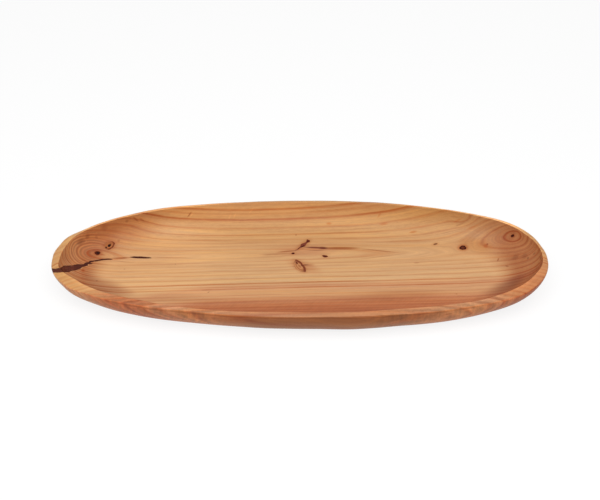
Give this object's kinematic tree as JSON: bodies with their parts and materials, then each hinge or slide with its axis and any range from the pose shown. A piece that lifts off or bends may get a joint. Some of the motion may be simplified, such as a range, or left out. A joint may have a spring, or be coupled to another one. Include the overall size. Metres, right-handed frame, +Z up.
{
  "type": "wooden serving tray",
  "caption": "Long, shallow oval serving tray carved from a single block of wood, with a flat foot, rounded walls, a cut rim, a filled crack at its left tip and dark knots.",
  "frame": {"origin": "middle of the tray's footprint, on the surface that it stands on", "axes": "+X along the tray, away from the tip with the filled crack; +Z up, out of the hollow; +Y across the tray, away from the side that faces the viewer"},
  "size_m": [0.6, 0.217, 0.044],
  "materials": {
    "carved_wood": "oiled, satin",
    "knot_wood": "oiled, satin",
    "crack_filler": "hard dark resin, polished flush"
  },
  "bodies": {
    "root": {"tray_body": "carved_wood", "end_crack_fill": "crack_filler", "floor_split_fill": "crack_filler", "left_pith_core": "knot_wood", "left_wall_knot": "knot_wood", "centre_spike_knot": "knot_wood", "centre_oval_knot": "knot_wood", "left_pin_knot": "knot_wood", "right_pin_knot": "knot_wood", "small_floor_knot": "knot_wood", "right_floor_knot": "knot_wood", "right_pith_core": "knot_wood"}
  },
  "joints": []
}
